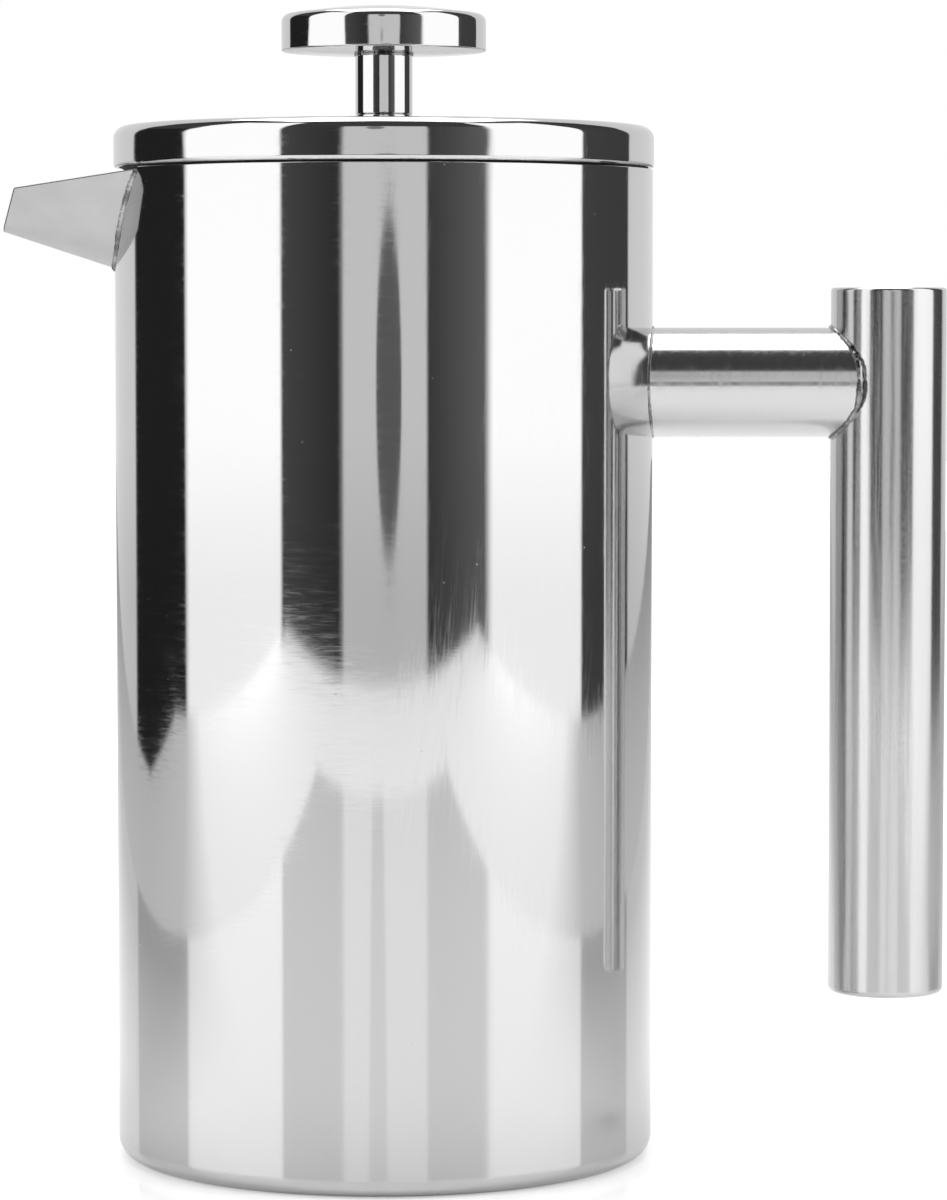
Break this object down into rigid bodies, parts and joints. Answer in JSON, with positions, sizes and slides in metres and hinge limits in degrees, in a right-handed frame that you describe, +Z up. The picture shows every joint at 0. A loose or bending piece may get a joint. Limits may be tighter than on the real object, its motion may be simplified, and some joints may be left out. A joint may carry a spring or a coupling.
{
  "type": "french press",
  "caption": "Cylindrical double-walled steel coffee press with a folded pouring spout, an upright tube handle, a domed lid and a plunger with a disc knob.",
  "frame": {"origin": "centre of the pot's foot ring, on the surface it stands on", "axes": "+Z up along the plunger rod, +X towards the handle, -X towards the spout, +Y to the right of someone who holds the handle and looks at the spout"},
  "size_m": [0.1758, 0.1004, 0.2141],
  "materials": {
    "mirror_steel": "mirror polished stainless steel",
    "handle_steel": "polished stainless steel tube with a fine grain",
    "spout_steel": "satin stainless steel sheet",
    "satin_steel": "satin stainless steel",
    "weld_bead": "fused weld bead",
    "mesh_steel": "woven stainless steel wire",
    "black_silicone": "matt silicone"
  },
  "bodies": {
    "pot": {"outer_shell": "mirror_steel", "inner_liner": "satin_steel", "base_plate": "satin_steel", "spout": "spout_steel", "spout_weld": "weld_bead", "handle_arm": "handle_steel", "arm_root_weld": "weld_bead", "handle_tube": "handle_steel", "arm_tube_weld": "weld_bead", "handle_top_cap": "handle_steel", "handle_bottom_cap": "handle_steel"},
    "lid_seal": {"lid_seal": "black_silicone"},
    "lid": {"lid_cap": "mirror_steel", "lid_pan": "satin_steel", "lid_skirt": "satin_steel"},
    "guide": {"rod_bush": "mirror_steel", "bush_clip": "satin_steel"},
    "plunger": {"plunger_rod": "mirror_steel", "knob_disc": "mirror_steel", "knob_neck": "mirror_steel", "knob_weld": "weld_bead", "hub_nut": "satin_steel", "cross_plate": "satin_steel", "mesh_screen": "mesh_steel", "press_plate": "satin_steel", "edge_spring": "satin_steel", "stop_nut": "satin_steel"}
  },
  "joints": [
    {"name": "lid_lift", "type": "slide", "parent": "pot", "child": "lid_seal", "axis": [0, 0, 1], "range_m": [0, 0.18]},
    {"name": "lid_turn", "type": "hinge", "parent": "lid_seal", "child": "lid", "pos_m": [0, 0, 0.185], "axis": [0, 0, 1], "continuous": true},
    {"name": "plunger_turn", "type": "hinge", "parent": "lid", "child": "guide", "pos_m": [0, 0, 0.19], "axis": [0, 0, 1], "continuous": true},
    {"name": "plunger_slide", "type": "slide", "parent": "guide", "child": "plunger", "axis": [0, 0, 1], "range_m": [0, 0.148]}
  ]
}
